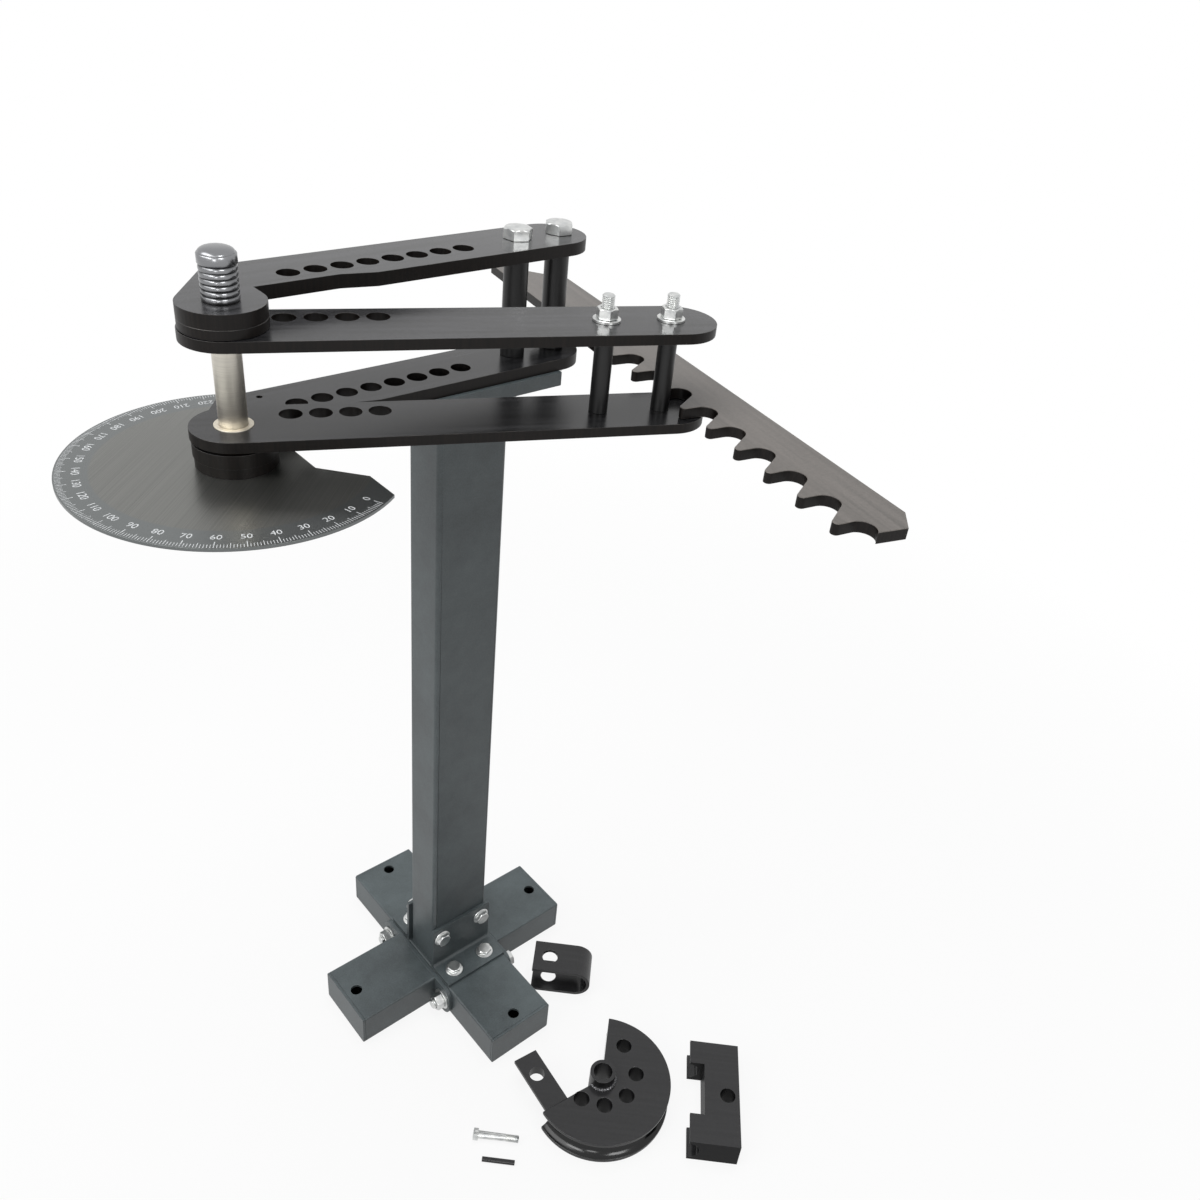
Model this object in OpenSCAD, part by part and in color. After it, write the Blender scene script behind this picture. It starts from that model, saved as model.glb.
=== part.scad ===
// Pedestal pipe bender with a swing frame, a ratchet bar, a degree dial and a loose die set.
// Millimetres, +Z up. Origin: floor level, centre of the base. +X runs along the fixed frame.

/* [Base] */
// width of the foot tubes
foot_w = 100; // [80:1:130]
// height of the foot tubes
foot_h = 50; // [40:1:70]
// base centre to the ends of the stub feet
foot_reach = 175; // [160:1:240]
// base centre to the ends of the cross tube
cross_reach = 185; // [160:1:240]
// wall of the foot tubes
foot_wall = 4; // [3:0.5:6]
// corner radius of the foot tubes
foot_corner = 3; // [1:0.5:8]
// thickness of the plates that close the foot ends
cap_t = 4; // [3:0.5:8]
// thickness of the stub foot flanges
flange_t = 6; // [4:0.5:10]
// half length of the stub foot flanges
flange_half = 87; // [86:1:100]
// corner radius of the stub foot flanges
flange_corner = 17; // [4:0.5:22]
// distance of the flange bolts from the base centre line
flange_bolt_y = 70; // [66:1:78]
// diameter of the flange bolts
flange_bolt_d = 14; // [10:1:14]
// diameter of the anchor holes
anchor_d = 16; // [12:0.5:20]
// anchor hole centre to the foot end
anchor_inset = 19; // [16:1:30]

/* [Post] */
// post size along the fixed frame
post_w = 90; // [70:1:96]
// post size across the fixed frame
post_d = 60; // [50:1:70]
// wall of the post
post_wall = 4; // [3:0.5:6]
// corner radius of the post
post_corner = 6; // [2:0.5:10]
// length of the post
post_len = 886; // [600:1:1100]
// thickness of the angle brackets
bracket_t = 5; // [4:0.5:8]
// run of each bracket along the cross tube
bracket_run = 46; // [40:1:60]
// rise of each bracket along the post
bracket_rise = 78; // [60:1:110]
// width of the brackets
bracket_w = 98; // [92:1:100]
// diameter of the bracket bolts
bracket_bolt_d = 12; // [8:1:12]
// half spacing of the bracket bolts into the cross tube
bracket_base_x = 27; // [20:1:34]
// post face to the bracket bolts into the cross tube
bracket_base_y = 27; // [22:1:32]
// half spacing of the bracket bolts through the post
bracket_post_x = 34; // [20:1:34]
// cross tube top to the bracket bolts through the post
bracket_post_z = 58; // [35:1:62]
// thickness of the saddle plate
saddle_t = 16; // [10:1:25]
// width of the saddle plate
saddle_w = 84; // [78:1:100]
// clearance between the saddle's end and the outer frame nut
saddle_gap = 0.5; // [0.3:0.1:10]

/* [Fixed frame] */
// thickness of the fixed frame plates
frame_t = 13; // [10:0.5:16]
// width of the fixed frame plates
frame_w = 75; // [60:1:90]
// how much narrower the plates are near the lobe
frame_step = 8.5; // [4:0.5:12]
// main pin axis to the start of the full width
frame_step_at = 153; // [130:1:170]
// base centre to the round end of the plates
frame_end = 149; // [147:1:180]
// main pin axis to the corner of the plates' back edge, along the frame
back_offset = 21; // [16:1:30]
// radius of the lobe around the main pin
lobe_r = 37; // [30:0.5:42]
// diameter of the pin holes in both frames
hole_d = 21; // [16:0.5:25]
// pitch of the fixed frame pin holes
frame_pitch = 26.7; // [25:0.1:27]
// number of fixed frame pin holes
frame_holes = 8; // [4:1:8]
// main pin axis to the first fixed frame pin hole
frame_first = 80.4; // [74:0.1:90]
// fixed frame pin hole row to the plate centre line
frame_row = -6.5; // [-10:0.5:10]
// diameter of the small locating hole in the lower fixed plate
locate_d = 6; // [3:0.5:8]
// diameter of the frame bolts
frame_bolt_d = 18; // [14:1:20]
// outer diameter of the frame spacers
frame_spacer_d = 26; // [24:0.5:32]
// base centre to the inner frame spacer
inner_spacer_x = 68; // [55:1:72]
// base centre to the outer frame spacer
outer_spacer_x = 122; // [118:1:130]

/* [Swing frame] */
// main pin axis along the fixed frame, from the base centre
pin_x = -271; // [-300:1:-250]
// main pin axis across the fixed frame, from the base centre
pin_y = -47; // [-60:1:-40]
// rest angle of the swing frame from the fixed frame
swing_angle = -24; // [-40:0.5:-22]
// thickness of the swing plates
swing_t = 10; // [8:0.5:14]
// width of the swing plates
swing_w = 76; // [64:1:84]
// main pin axis to the far end of the swing plates
swing_len = 440; // [420:1:500]
// clear height between the swing plates
swing_gap = 79; // [60:0.5:110]
// pitch of the swing frame pin holes
swing_pitch = 26.5; // [25:0.1:30]
// number of swing frame pin holes
swing_holes = 4; // [2:1:6]
// main pin axis to the first swing frame pin hole
swing_first = 49; // [45:0.5:60]
// swing frame pin hole row to the plate centre line
swing_row = 17.5; // [0:0.5:20]
// diameter of the swing spacers
swing_spacer_d = 18; // [15:0.5:20]
// diameter of the swing bolts
swing_bolt_d = 12; // [8:1:12]
// how far the swing bolts stand past their nuts
swing_bolt_end = 12; // [4:1:16]
// main pin axis to the inner swing spacer
swing_post_1 = 333; // [300:1:350]
// main pin axis to the outer swing spacer
swing_post_2 = 396; // [390:1:398]

/* [Main pin] */
// diameter of the pin shaft
pin_d = 25; // [20:0.5:28]
// diameter of the grip head
grip_d = 32; // [29:0.5:44]
// height of the plain band at the top of the grip
grip_band = 9.5; // [6:0.5:14]
// pitch of the grip rings
ring_pitch = 4.9; // [4:0.1:8]
// number of grip rings
grip_rings = 6; // [3:1:7]
// depth of the grooves between the rings
ring_depth = 1.2; // [0.6:0.1:2]
// rise of the domed top
grip_dome = 5; // [2:0.5:8]
// radial clearance of the pin in its bores
pin_play = 0.05; // [0.02:0.01:0.1]
// wall of the swing bushes
bush_wall = 4.5; // [2.5:0.5:6]
// how far the bushes stand above the swing plates
bush_proud = 0.8; // [0.2:0.1:1.5]

/* [Stack] */
// thickness of the thrust washer between the lower plates
thrust_t = 2.6; // [2:0.1:5]
// thickness of the boss under the upper fixed lobe
boss_t = 8.7; // [5:0.1:12]
// running gap between plates that turn past each other
run_gap = 0.3; // [0.2:0.1:0.6]
// thickness of the boss between the lower fixed lobe and the dial
dial_boss_t = 10; // [8:0.5:16]

/* [Dial] */
// radius of the dial
dial_r = 150; // [120:1:170]
// thickness of the dial
dial_t = 3; // [2:0.5:5]
// main pin axis to the dial's long cut edge
dial_cut = 52; // [44:1:60]
// main pin axis to the edge of the dial's tab
dial_tab = 85; // [75:1:95]
// main pin axis to the start of the tab's slant
dial_slant_1 = 45; // [35:1:55]
// main pin axis to the end of the tab's slant
dial_slant_2 = 83; // [70:1:95]
// diameter of the dial screws
dial_screw_d = 6; // [4:0.5:8]
// dial screw circle radius
dial_screw_r = 25; // [22:0.5:28]

/* [Ratchet bar] */
// thickness of the ratchet bar
bar_t = 11; // [8:0.5:14]
// clearance of the bar over the lower swing plate
bar_lift = 0.8; // [0.4:0.1:2]
// how far the bar stands open from the swing spacer at rest
bar_open = 6.6; // [6.2:0.1:8]
// bar pivot to the tips of the teeth
tooth_tip = 20; // [19:0.5:26]
// depth of the notches
notch_depth = 30; // [26:0.5:32]
// width of the bar behind the notches
bar_spine = 41.5; // [34:0.5:50]
// pitch of the notches
notch_pitch = 46.6; // [46:0.1:47]
// which notch faces the swing spacer at rest
rest_notch = 2; // [1:1:4]
// number of notches
notches = 9; // [5:1:11]
// radial clearance of the swing spacer in a notch
notch_play = 3; // [1:0.1:4]
// radius of the tooth tips
tooth_round = 4.5; // [2:0.5:6]
// length of the bar's tail behind its pivot
bar_tail = 212; // [150:1:260]
// slant of the tail's end along the bar
tail_slant = 70; // [30:1:90]
// last notch to the far corner of the bar's end
end_run = 24.5; // [20:0.5:40]
// slant of the bar's end along the bar
end_slant = 22; // [10:0.5:30]
// slant of the bar's end across the bar
end_drop = 16; // [8:0.5:24]
// outer radius of the bar's eye
eye_r = 23; // [20:0.5:26]
// wall of the pivot bush
pivot_wall = 3; // [2:0.5:5]

/* [Die set] */
// radius of the bending die
die_r = 95; // [85:1:120]
// thickness of the bending die
die_t = 40; // [34:0.5:60]
// radius of the tube groove
groove_r = 15; // [10:0.5:16]
// angle that the die covers
die_arc = 230; // [200:1:260]
// wall of the die hub
hub_wall = 4.9; // [3:0.1:8]
// how far the hub stands above the die
hub_proud = 16; // [6:0.5:24]
// leg of the weld fillet between the hub and the top of the die
hub_weld = 3; // [2:0.5:5]
// length of the hook bar
hook_len = 84; // [60:1:110]
// width of the hook bar
hook_w = 34; // [28:1:40]
// thickness of the hook bar
hook_t = 16; // [12:0.5:24]
// length of the follower block
block_len = 150; // [120:1:200]
// width of the follower block
block_w = 68; // [60:1:85]
// height of the follower block
block_h = 40; // [36:1:60]
// thickness of the strap
strap_t = 5; // [3:0.5:8]
// width of the strap
strap_w = 52; // [35:1:70]
// length of the strap's legs
strap_len = 64; // [50:1:90]
// diameter of the holes in the strap
strap_hole_d = 23; // [18:0.5:26]
// inner height of the strap
strap_gap = 38; // [35:1:60]
// diameter of the die bolt
die_bolt_d = 10; // [8:1:12]
// length of the die bolt
die_bolt_len = 54; // [40:1:80]
// diameter of the loose pin
loose_pin_d = 6.5; // [5:0.5:10]
// length of the loose pin
loose_pin_len = 43; // [30:1:60]

/* [Hidden] */
$fn = 64;
eps = 0.01;
bolt_play = 0.2;
post_top = foot_h + post_len;
frame_z0 = post_top + saddle_t;
frame_z1 = frame_z0 + frame_t;
swing_z0 = frame_z1 + thrust_t + run_gap;
swing_z1 = swing_z0 + swing_t;
swing_z2 = swing_z1 + swing_gap;
swing_z3 = swing_z2 + swing_t;
frame_z2 = swing_z3 + run_gap + boss_t;
frame_z3 = frame_z2 + frame_t;
dial_z1 = frame_z0 - dial_boss_t;
dial_z0 = dial_z1 - dial_t;
bar_z0 = swing_z1 + bar_lift;
bar_z1 = bar_z0 + bar_t;
bar_end_play = 0.3;
seat_r = swing_spacer_d / 2 + notch_play;
notch_floor = tooth_tip + notch_depth;
bar_back = notch_floor + bar_spine;
seat_y = notch_floor - seat_r;
post_dx = pin_x + swing_post_2 * cos(swing_angle) - outer_spacer_x;
post_dy = pin_y + swing_post_2 * sin(swing_angle);
seat_x = sqrt(post_dx * post_dx + post_dy * post_dy - seat_y * seat_y);
bar_angle = atan2(post_dy, post_dx) - atan2(seat_y, seat_x) + bar_open;
notch_first = seat_x - seat_r - rest_notch * notch_pitch;
ramp_run = notch_pitch - tooth_round - seat_r;
ramp_rise = seat_y - tooth_tip - tooth_round;
ramp_turn = acos((seat_r + tooth_round) / norm([ramp_run, ramp_rise])) - atan2(ramp_rise, ramp_run);
pivot_r = frame_bolt_d / 2 + bolt_play + pivot_wall;
frame_half = frame_w / 2;
saddle_half = outer_spacer_x - hex_af(frame_bolt_d) / cos(30) / 2 - saddle_gap;
frame_round_x = frame_end - frame_half;
lobe_dx = frame_half - frame_step;
back_corner = pin_x + back_offset;
back_dx = back_corner - pin_x;
back_dy = frame_half - pin_y;
back_len = norm([back_dx, back_dy]);
lobe_turn = atan2(back_dy, back_dx) + acos(lobe_r / back_len);
swing_half = swing_w / 2;
swing_round = swing_len - swing_half;
bush_r = pin_d / 2 + pin_play + bush_wall;
foot_y = foot_w / 2;
bracket_y = post_d / 2;
bolt_z = foot_h / 2;
weld_nut_t = 8;
die_x = 40;
die_y = -315;
kit_angle = -45;
block_x = 150;
block_y = -425;
strap_x = 132;
strap_y = -148;
die_bolt_x = -128;
die_bolt_y = -262;
loose_pin_x = -142;
loose_pin_y = -290;

// Common hardware

function hex_af(d) = d * 1.5;
function head_h(d) = d * 0.65;
function nut_h(d) = d * 0.85;

module hex(d, h) {
  cylinder(d = hex_af(d) / cos(30), h = h, $fn = 6);
}

module hex_bolt(d, grip) {
  translate([0, 0, -grip]) cylinder(d = d, h = grip + eps);
  hex(d, head_h(d));
}

module flanged_bolt(d, grip) {
  hex_bolt(d, grip);
  cylinder(d = 2.1 * d, h = 0.2 * d);
}

module hex_nut(d) {
  difference() {
    hex(d, nut_h(d));
    translate([0, 0, -1]) cylinder(d = d + bolt_play, h = nut_h(d) + 2);
  }
}

module washer(d, t) {
  difference() {
    cylinder(d = d * 2.2, h = t);
    translate([0, 0, -1]) cylinder(d = d + 2 * bolt_play, h = t + 2);
  }
}

module ring(outer, inner, h) {
  difference() {
    cylinder(r = outer, h = h);
    translate([0, 0, -1]) cylinder(r = inner, h = h + 2);
  }
}

// Base

module round_rect(w, h, r) {
  square([w - 2 * r, h], center = true);
  square([w, h - 2 * r], center = true);
  for (sx = [-1, 1], sy = [-1, 1]) translate([sx * (w / 2 - r), sy * (h / 2 - r)]) circle(r = r, $fn = 32);
}

module box_tube(len, w, h, wall, r) {
  linear_extrude(len) difference() {
    round_rect(w, h, r);
    round_rect(w - 2 * wall, h - 2 * wall, max(r - wall, 0.5));
  }
}

module along_x(start) {
  translate([start, 0, foot_h / 2]) rotate([90, 0, 90]) children();
}

module anchor_cut(reach) {
  translate([reach - anchor_inset, 0, -1]) cylinder(d = anchor_d, h = foot_h + 2);
}

module at_flange_bolts() {
  for (s = [-1, 1]) translate([0, s * flange_bolt_y, bolt_z]) rotate([0, 90, 0]) children();
}

module cross_tube() {
  reach = cross_reach - cap_t;
  color([0.27, 0.29, 0.30]) difference() {
    rotate([0, 0, 90]) along_x(-reach) box_tube(2 * reach, foot_w, foot_h, foot_wall, foot_corner);
    for (a = [90, 270]) rotate([0, 0, a]) anchor_cut(cross_reach);
    at_flange_bolts() translate([0, 0, -foot_w]) cylinder(d = flange_bolt_d + 2 * bolt_play, h = 2 * foot_w);
    at_base_bolts() translate([0, 0, -2 * foot_wall])
      cylinder(d = bracket_bolt_d + 2 * bolt_play, h = 3 * foot_wall);
  }
}

module stub_tube() {
  start = foot_w / 2 + flange_t;
  difference() {
    along_x(start) box_tube(foot_reach - cap_t - start, foot_w, foot_h, foot_wall, foot_corner);
    anchor_cut(foot_reach);
  }
}

module left_foot_tube() {
  color([0.27, 0.29, 0.30]) rotate([0, 0, 180]) stub_tube();
}

module right_foot_tube() {
  color([0.27, 0.29, 0.30]) stub_tube();
}

module foot_caps() {
  color([0.27, 0.29, 0.30]) for (a = [0, 90, 180, 270]) rotate([0, 0, a])
    along_x((a % 180 == 0 ? foot_reach : cross_reach) - cap_t)
      linear_extrude(cap_t) round_rect(foot_w, foot_h, foot_corner);
}

module flange() {
  difference() {
    along_x(foot_w / 2) linear_extrude(flange_t) round_rect(2 * flange_half, foot_h, flange_corner);
    at_flange_bolts() cylinder(d = flange_bolt_d + 2 * bolt_play, h = 2 * foot_w);
  }
}

module left_flange() {
  color([0.25, 0.27, 0.28]) rotate([0, 0, 180]) flange();
}

module right_flange() {
  color([0.25, 0.27, 0.28]) flange();
}

flange_face = foot_w / 2 + flange_t;
flange_washer_t = 2.5;

module flange_bolts() {
  seat = flange_face + flange_washer_t;
  tail = nut_h(flange_bolt_d) + 4;
  color([0.75, 0.76, 0.78]) at_flange_bolts() translate([0, 0, seat])
    hex_bolt(flange_bolt_d, 2 * seat + tail);
}

module flange_washers() {
  color([0.75, 0.76, 0.78]) at_flange_bolts() {
    translate([0, 0, flange_face]) washer(flange_bolt_d, flange_washer_t);
    translate([0, 0, -flange_face - flange_washer_t]) washer(flange_bolt_d, flange_washer_t);
  }
}

module flange_nuts() {
  seat = flange_face + flange_washer_t;
  color([0.75, 0.76, 0.78]) at_flange_bolts() translate([0, 0, -seat]) mirror([0, 0, 1])
    hex_nut(flange_bolt_d);
}

// Post, brackets and saddle

module at_base_bolts() {
  for (sx = [-1, 1], sy = [-1, 1])
    translate([sx * bracket_base_x, sy * (bracket_y + bracket_base_y), foot_h]) children();
}

module at_post_bolts() {
  for (sx = [-1, 1])
    translate([sx * bracket_post_x, 0, foot_h + bracket_post_z]) rotate([90, 0, 0]) children();
}

module angle_bracket() {
  difference() {
    union() {
      translate([-bracket_w / 2, -bracket_y - bracket_run, foot_h]) cube([bracket_w, bracket_run, bracket_t]);
      translate([-bracket_w / 2, -bracket_y - bracket_t, foot_h]) cube([bracket_w, bracket_t, bracket_rise]);
      translate([-bracket_w / 2, -bracket_y - bracket_t, foot_h + bracket_t]) rotate([90, 0, 90])
        difference() {
          translate([-bracket_t, 0, 0]) cube([bracket_t, bracket_t, bracket_w]);
          translate([-bracket_t, bracket_t, -1]) cylinder(r = bracket_t, h = bracket_w + 2);
        }
    }
    at_base_bolts() translate([0, 0, -1]) cylinder(d = bracket_bolt_d + 2 * bolt_play, h = bracket_t + 2);
    at_post_bolts() cylinder(d = bracket_bolt_d + 2 * bolt_play, h = 2 * post_d);
  }
}

module front_bracket() {
  color([0.27, 0.29, 0.30]) angle_bracket();
}

module back_bracket() {
  color([0.27, 0.29, 0.30]) rotate([0, 0, 180]) angle_bracket();
}

module bracket_base_bolts() {
  grip = bracket_t + foot_wall + weld_nut_t;
  color([0.75, 0.76, 0.78]) at_base_bolts() translate([0, 0, bracket_t]) flanged_bolt(bracket_bolt_d, grip);
}

module base_weld_nuts() {
  color([0.55, 0.56, 0.58]) at_base_bolts() translate([0, 0, -foot_wall - weld_nut_t])
    ring(bracket_bolt_d * 0.9, bracket_bolt_d / 2 + bolt_play, weld_nut_t);
}

module bracket_post_bolts() {
  seat = bracket_y + bracket_t;
  color([0.75, 0.76, 0.78]) at_post_bolts() translate([0, 0, seat])
    flanged_bolt(bracket_bolt_d, 2 * seat + nut_h(bracket_bolt_d) + 3);
}

module bracket_post_nuts() {
  color([0.75, 0.76, 0.78]) at_post_bolts() translate([0, 0, -bracket_y - bracket_t])
    mirror([0, 0, 1]) hex_nut(bracket_bolt_d);
}

module post() {
  color([0.27, 0.29, 0.30]) difference() {
    translate([0, 0, foot_h]) box_tube(post_len, post_w, post_d, post_wall, post_corner);
    at_post_bolts() translate([0, 0, -post_d]) cylinder(d = bracket_bolt_d + 2 * bolt_play, h = 2 * post_d);
  }
}

module saddle() {
  color([0.30, 0.32, 0.33]) difference() {
    translate([-saddle_half, -saddle_w / 2, post_top]) cube([2 * saddle_half, saddle_w, saddle_t]);
    translate([inner_spacer_x, 0, post_top - 1]) cylinder(d = frame_bolt_d + 2 * bolt_play, h = saddle_t + 2);
  }
}

// Fixed frame

module frame_plate() {
  difference() {
    union() {
      linear_extrude(frame_t) polygon([
        [back_corner, frame_half],
        [frame_round_x, frame_half],
        [frame_round_x, -frame_half],
        [pin_x + frame_step_at, -frame_half],
        [pin_x + frame_step_at - 4 * frame_step, -lobe_dx],
        [pin_x + lobe_r, -lobe_dx],
        [pin_x + lobe_r, pin_y],
        [pin_x, pin_y],
        [pin_x + lobe_r * cos(lobe_turn), pin_y + lobe_r * sin(lobe_turn)]]);
      translate([pin_x, pin_y, 0]) cylinder(r = lobe_r, h = frame_t);
      translate([frame_round_x, 0, 0]) cylinder(r = frame_half, h = frame_t);
    }
    translate([pin_x, pin_y, -1]) cylinder(r = pin_d / 2 + pin_play, h = frame_t + 2);
    for (i = [0 : frame_holes - 1]) translate([pin_x + frame_first + i * frame_pitch, frame_row, -1])
      cylinder(d = hole_d, h = frame_t + 2);
    for (x = [inner_spacer_x, outer_spacer_x]) translate([x, 0, -1])
      cylinder(d = frame_bolt_d + 2 * bolt_play, h = frame_t + 2);
  }
}

module lower_frame_plate() {
  color([0.16, 0.16, 0.17]) translate([0, 0, frame_z0]) difference() {
    frame_plate();
    translate([pin_x + lobe_r + 20, frame_half - 15, -1]) cylinder(d = locate_d, h = frame_t + 2);
  }
}

module upper_frame_plate() {
  color([0.16, 0.16, 0.17]) translate([0, 0, frame_z2]) frame_plate();
}

module inner_frame_spacer() {
  color([0.18, 0.18, 0.20]) translate([inner_spacer_x, 0, frame_z1])
    ring(frame_spacer_d / 2, frame_bolt_d / 2 + bolt_play, frame_z2 - frame_z1);
}

module outer_frame_spacer() {
  start = bar_z1 + bar_end_play;
  color([0.18, 0.18, 0.20]) translate([outer_spacer_x, 0, start])
    ring(frame_spacer_d / 2, frame_bolt_d / 2 + bolt_play, frame_z2 - start);
}

module bar_collar() {
  color([0.18, 0.18, 0.20]) translate([outer_spacer_x, 0, frame_z1])
    ring(frame_spacer_d / 2, frame_bolt_d / 2 + bolt_play, bar_z0 - bar_end_play - frame_z1);
}

module bar_bush() {
  color([0.78, 0.72, 0.55]) translate([outer_spacer_x, 0, bar_z0 - bar_end_play])
    ring(pivot_r, frame_bolt_d / 2 + bolt_play, bar_t + 2 * bar_end_play);
}

module frame_bolt(x, bottom) {
  translate([x, 0, frame_z3])
    hex_bolt(frame_bolt_d, frame_z3 - bottom + nut_h(frame_bolt_d) + 4);
}

module inner_frame_bolt() {
  color([0.75, 0.76, 0.78]) frame_bolt(inner_spacer_x, post_top);
}

module outer_frame_bolt() {
  color([0.75, 0.76, 0.78]) frame_bolt(outer_spacer_x, frame_z0);
}

module frame_nuts() {
  color([0.75, 0.76, 0.78]) translate([inner_spacer_x, 0, post_top]) mirror([0, 0, 1]) hex_nut(frame_bolt_d);
  color([0.75, 0.76, 0.78]) translate([outer_spacer_x, 0, frame_z0]) mirror([0, 0, 1]) hex_nut(frame_bolt_d);
}

module upper_boss() {
  color([0.16, 0.16, 0.17]) translate([pin_x, pin_y, frame_z2 - boss_t])
    ring(lobe_r, pin_d / 2 + pin_play, boss_t);
}

module thrust_washer() {
  color([0.78, 0.72, 0.55]) translate([pin_x, pin_y, frame_z1])
    ring(lobe_r - 4, pin_d / 2 + pin_play, thrust_t);
}

module at_dial_screws() {
  for (a = [90, 210, 330]) translate([pin_x, pin_y, 0]) rotate([0, 0, a])
    translate([dial_screw_r, 0, 0]) children();
}

module dial_boss() {
  color([0.16, 0.16, 0.17]) difference() {
    translate([pin_x, pin_y, dial_z1]) ring(lobe_r - 1, pin_d / 2 + pin_play, dial_boss_t);
    at_dial_screws() translate([0, 0, dial_z1 - 1]) cylinder(d = dial_screw_d + bolt_play, h = dial_boss_t);
  }
}

module dial_plate() {
  color([0.22, 0.23, 0.25]) difference() {
    translate([pin_x, pin_y, dial_z0]) cylinder(r = dial_r, h = dial_t, $fn = 128);
    translate([pin_x, pin_y, dial_z0 - 1]) linear_extrude(dial_t + 2) polygon([
      [dial_cut, dial_r + 1],
      [dial_cut, -dial_slant_1],
      [dial_tab, -dial_slant_2],
      [dial_tab, -dial_r - 1],
      [dial_r + 1, -dial_r - 1],
      [dial_r + 1, dial_r + 1]]);
    translate([pin_x, pin_y, dial_z0 - 1]) cylinder(r = pin_d / 2 + 1, h = dial_t + 2);
    at_dial_screws() translate([0, 0, dial_z0 - 1])
      cylinder(d = dial_screw_d + 2 * bolt_play, h = dial_t + 2);
  }
}

module dial_screws() {
  color([0.75, 0.76, 0.78]) at_dial_screws() translate([0, 0, dial_z0]) mirror([0, 0, 1])
    hex_bolt(dial_screw_d, dial_t + dial_boss_t - 2);
}

// Swing frame

module in_swing() {
  translate([pin_x, pin_y, 0]) rotate([0, 0, swing_angle]) children();
}

module at_swing_posts() {
  in_swing() for (x = [swing_post_1, swing_post_2]) translate([x, 0, 0]) children();
}

module swing_plate() {
  in_swing() difference() {
    union() {
      translate([0, -swing_half, 0]) cube([swing_round, swing_w, swing_t]);
      cylinder(r = swing_half, h = swing_t);
      translate([swing_round, 0, 0]) cylinder(r = swing_half, h = swing_t);
    }
    translate([0, 0, -1]) cylinder(r = bush_r, h = swing_t + 2);
    for (i = [0 : swing_holes - 1]) translate([swing_first + i * swing_pitch, swing_row, -1])
      cylinder(d = hole_d, h = swing_t + 2);
    for (x = [swing_post_1, swing_post_2]) translate([x, 0, -1])
      cylinder(d = swing_bolt_d + 2 * bolt_play, h = swing_t + 2);
  }
}

module lower_swing_plate() {
  color([0.16, 0.16, 0.17]) translate([0, 0, swing_z0]) swing_plate();
}

module upper_swing_plate() {
  color([0.16, 0.16, 0.17]) translate([0, 0, swing_z2]) swing_plate();
}

module swing_bushes() {
  color([0.85, 0.80, 0.66]) in_swing() translate([0, 0, swing_z0])
    ring(bush_r, pin_d / 2 + pin_play, swing_t + bush_proud);
  color([0.85, 0.80, 0.66]) in_swing() translate([0, 0, swing_z2 - bush_proud])
    ring(bush_r, pin_d / 2 + pin_play, swing_t + bush_proud);
}

module swing_spacers() {
  color([0.18, 0.18, 0.20]) at_swing_posts() translate([0, 0, swing_z1])
    ring(swing_spacer_d / 2, swing_bolt_d / 2 + bolt_play, swing_gap);
}

swing_washer_t = 2.5;

module swing_bolts() {
  grip = swing_z3 - swing_z0 + swing_washer_t + nut_h(swing_bolt_d) + swing_bolt_end;
  color([0.75, 0.76, 0.78]) at_swing_posts() translate([0, 0, swing_z0]) mirror([0, 0, 1])
    hex_bolt(swing_bolt_d, grip);
}

module swing_washers() {
  color([0.75, 0.76, 0.78]) at_swing_posts() translate([0, 0, swing_z3]) washer(swing_bolt_d, swing_washer_t);
}

module swing_nuts() {
  color([0.75, 0.76, 0.78]) at_swing_posts() translate([0, 0, swing_z3 + swing_washer_t])
    hex_nut(swing_bolt_d);
}

// Main pin

grip_h = grip_band + grip_rings * ring_pitch;
grip_r = grip_d / 2;
ring_r = grip_r - ring_depth;

module main_pin() {
  shaft = frame_z3 - dial_z1 - 1;
  dome_r = (grip_r * grip_r + grip_dome * grip_dome) / (2 * grip_dome);
  dome_half = asin(grip_r / dome_r);
  color([0.80, 0.80, 0.80]) translate([pin_x, pin_y, frame_z3]) rotate_extrude($fn = 64) polygon(concat(
    [[0, -shaft], [pin_d / 2 - 2, -shaft], [pin_d / 2, -shaft + 2], [pin_d / 2, 0]],
    [for (i = [0 : grip_rings - 1]) each [
      [ring_r, i * ring_pitch],
      [grip_r - 0.4, (i + 0.25) * ring_pitch],
      [grip_r - 0.4, (i + 0.75) * ring_pitch],
      [ring_r, (i + 1) * ring_pitch]]],
    [[grip_r, grip_rings * ring_pitch + ring_depth], [grip_r, grip_h]],
    [for (k = [1 : 5]) [dome_r * sin(dome_half * (1 - k / 6)),
      grip_h + grip_dome - dome_r * (1 - cos(dome_half * (1 - k / 6)))]],
    [[0, grip_h + grip_dome]]));
}

// Ratchet bar

// outline of tooth number i and the notch after it; each slope is tangent to the tooth tip and the notch

function tooth(i) = let (s = notch_first + i * notch_pitch, from = i == 0 ? 270 : 180 + ramp_turn) concat(
  [for (k = [0 : 6]) let (a = from + (360 - from) * k / 6)
    [s - tooth_round + tooth_round * cos(a), tooth_tip + tooth_round + tooth_round * sin(a)]],
  [[s, seat_y], [s + seat_r, seat_y]],
  [[s + seat_r + seat_r * cos(ramp_turn), seat_y + seat_r * sin(ramp_turn)]]);

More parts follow.
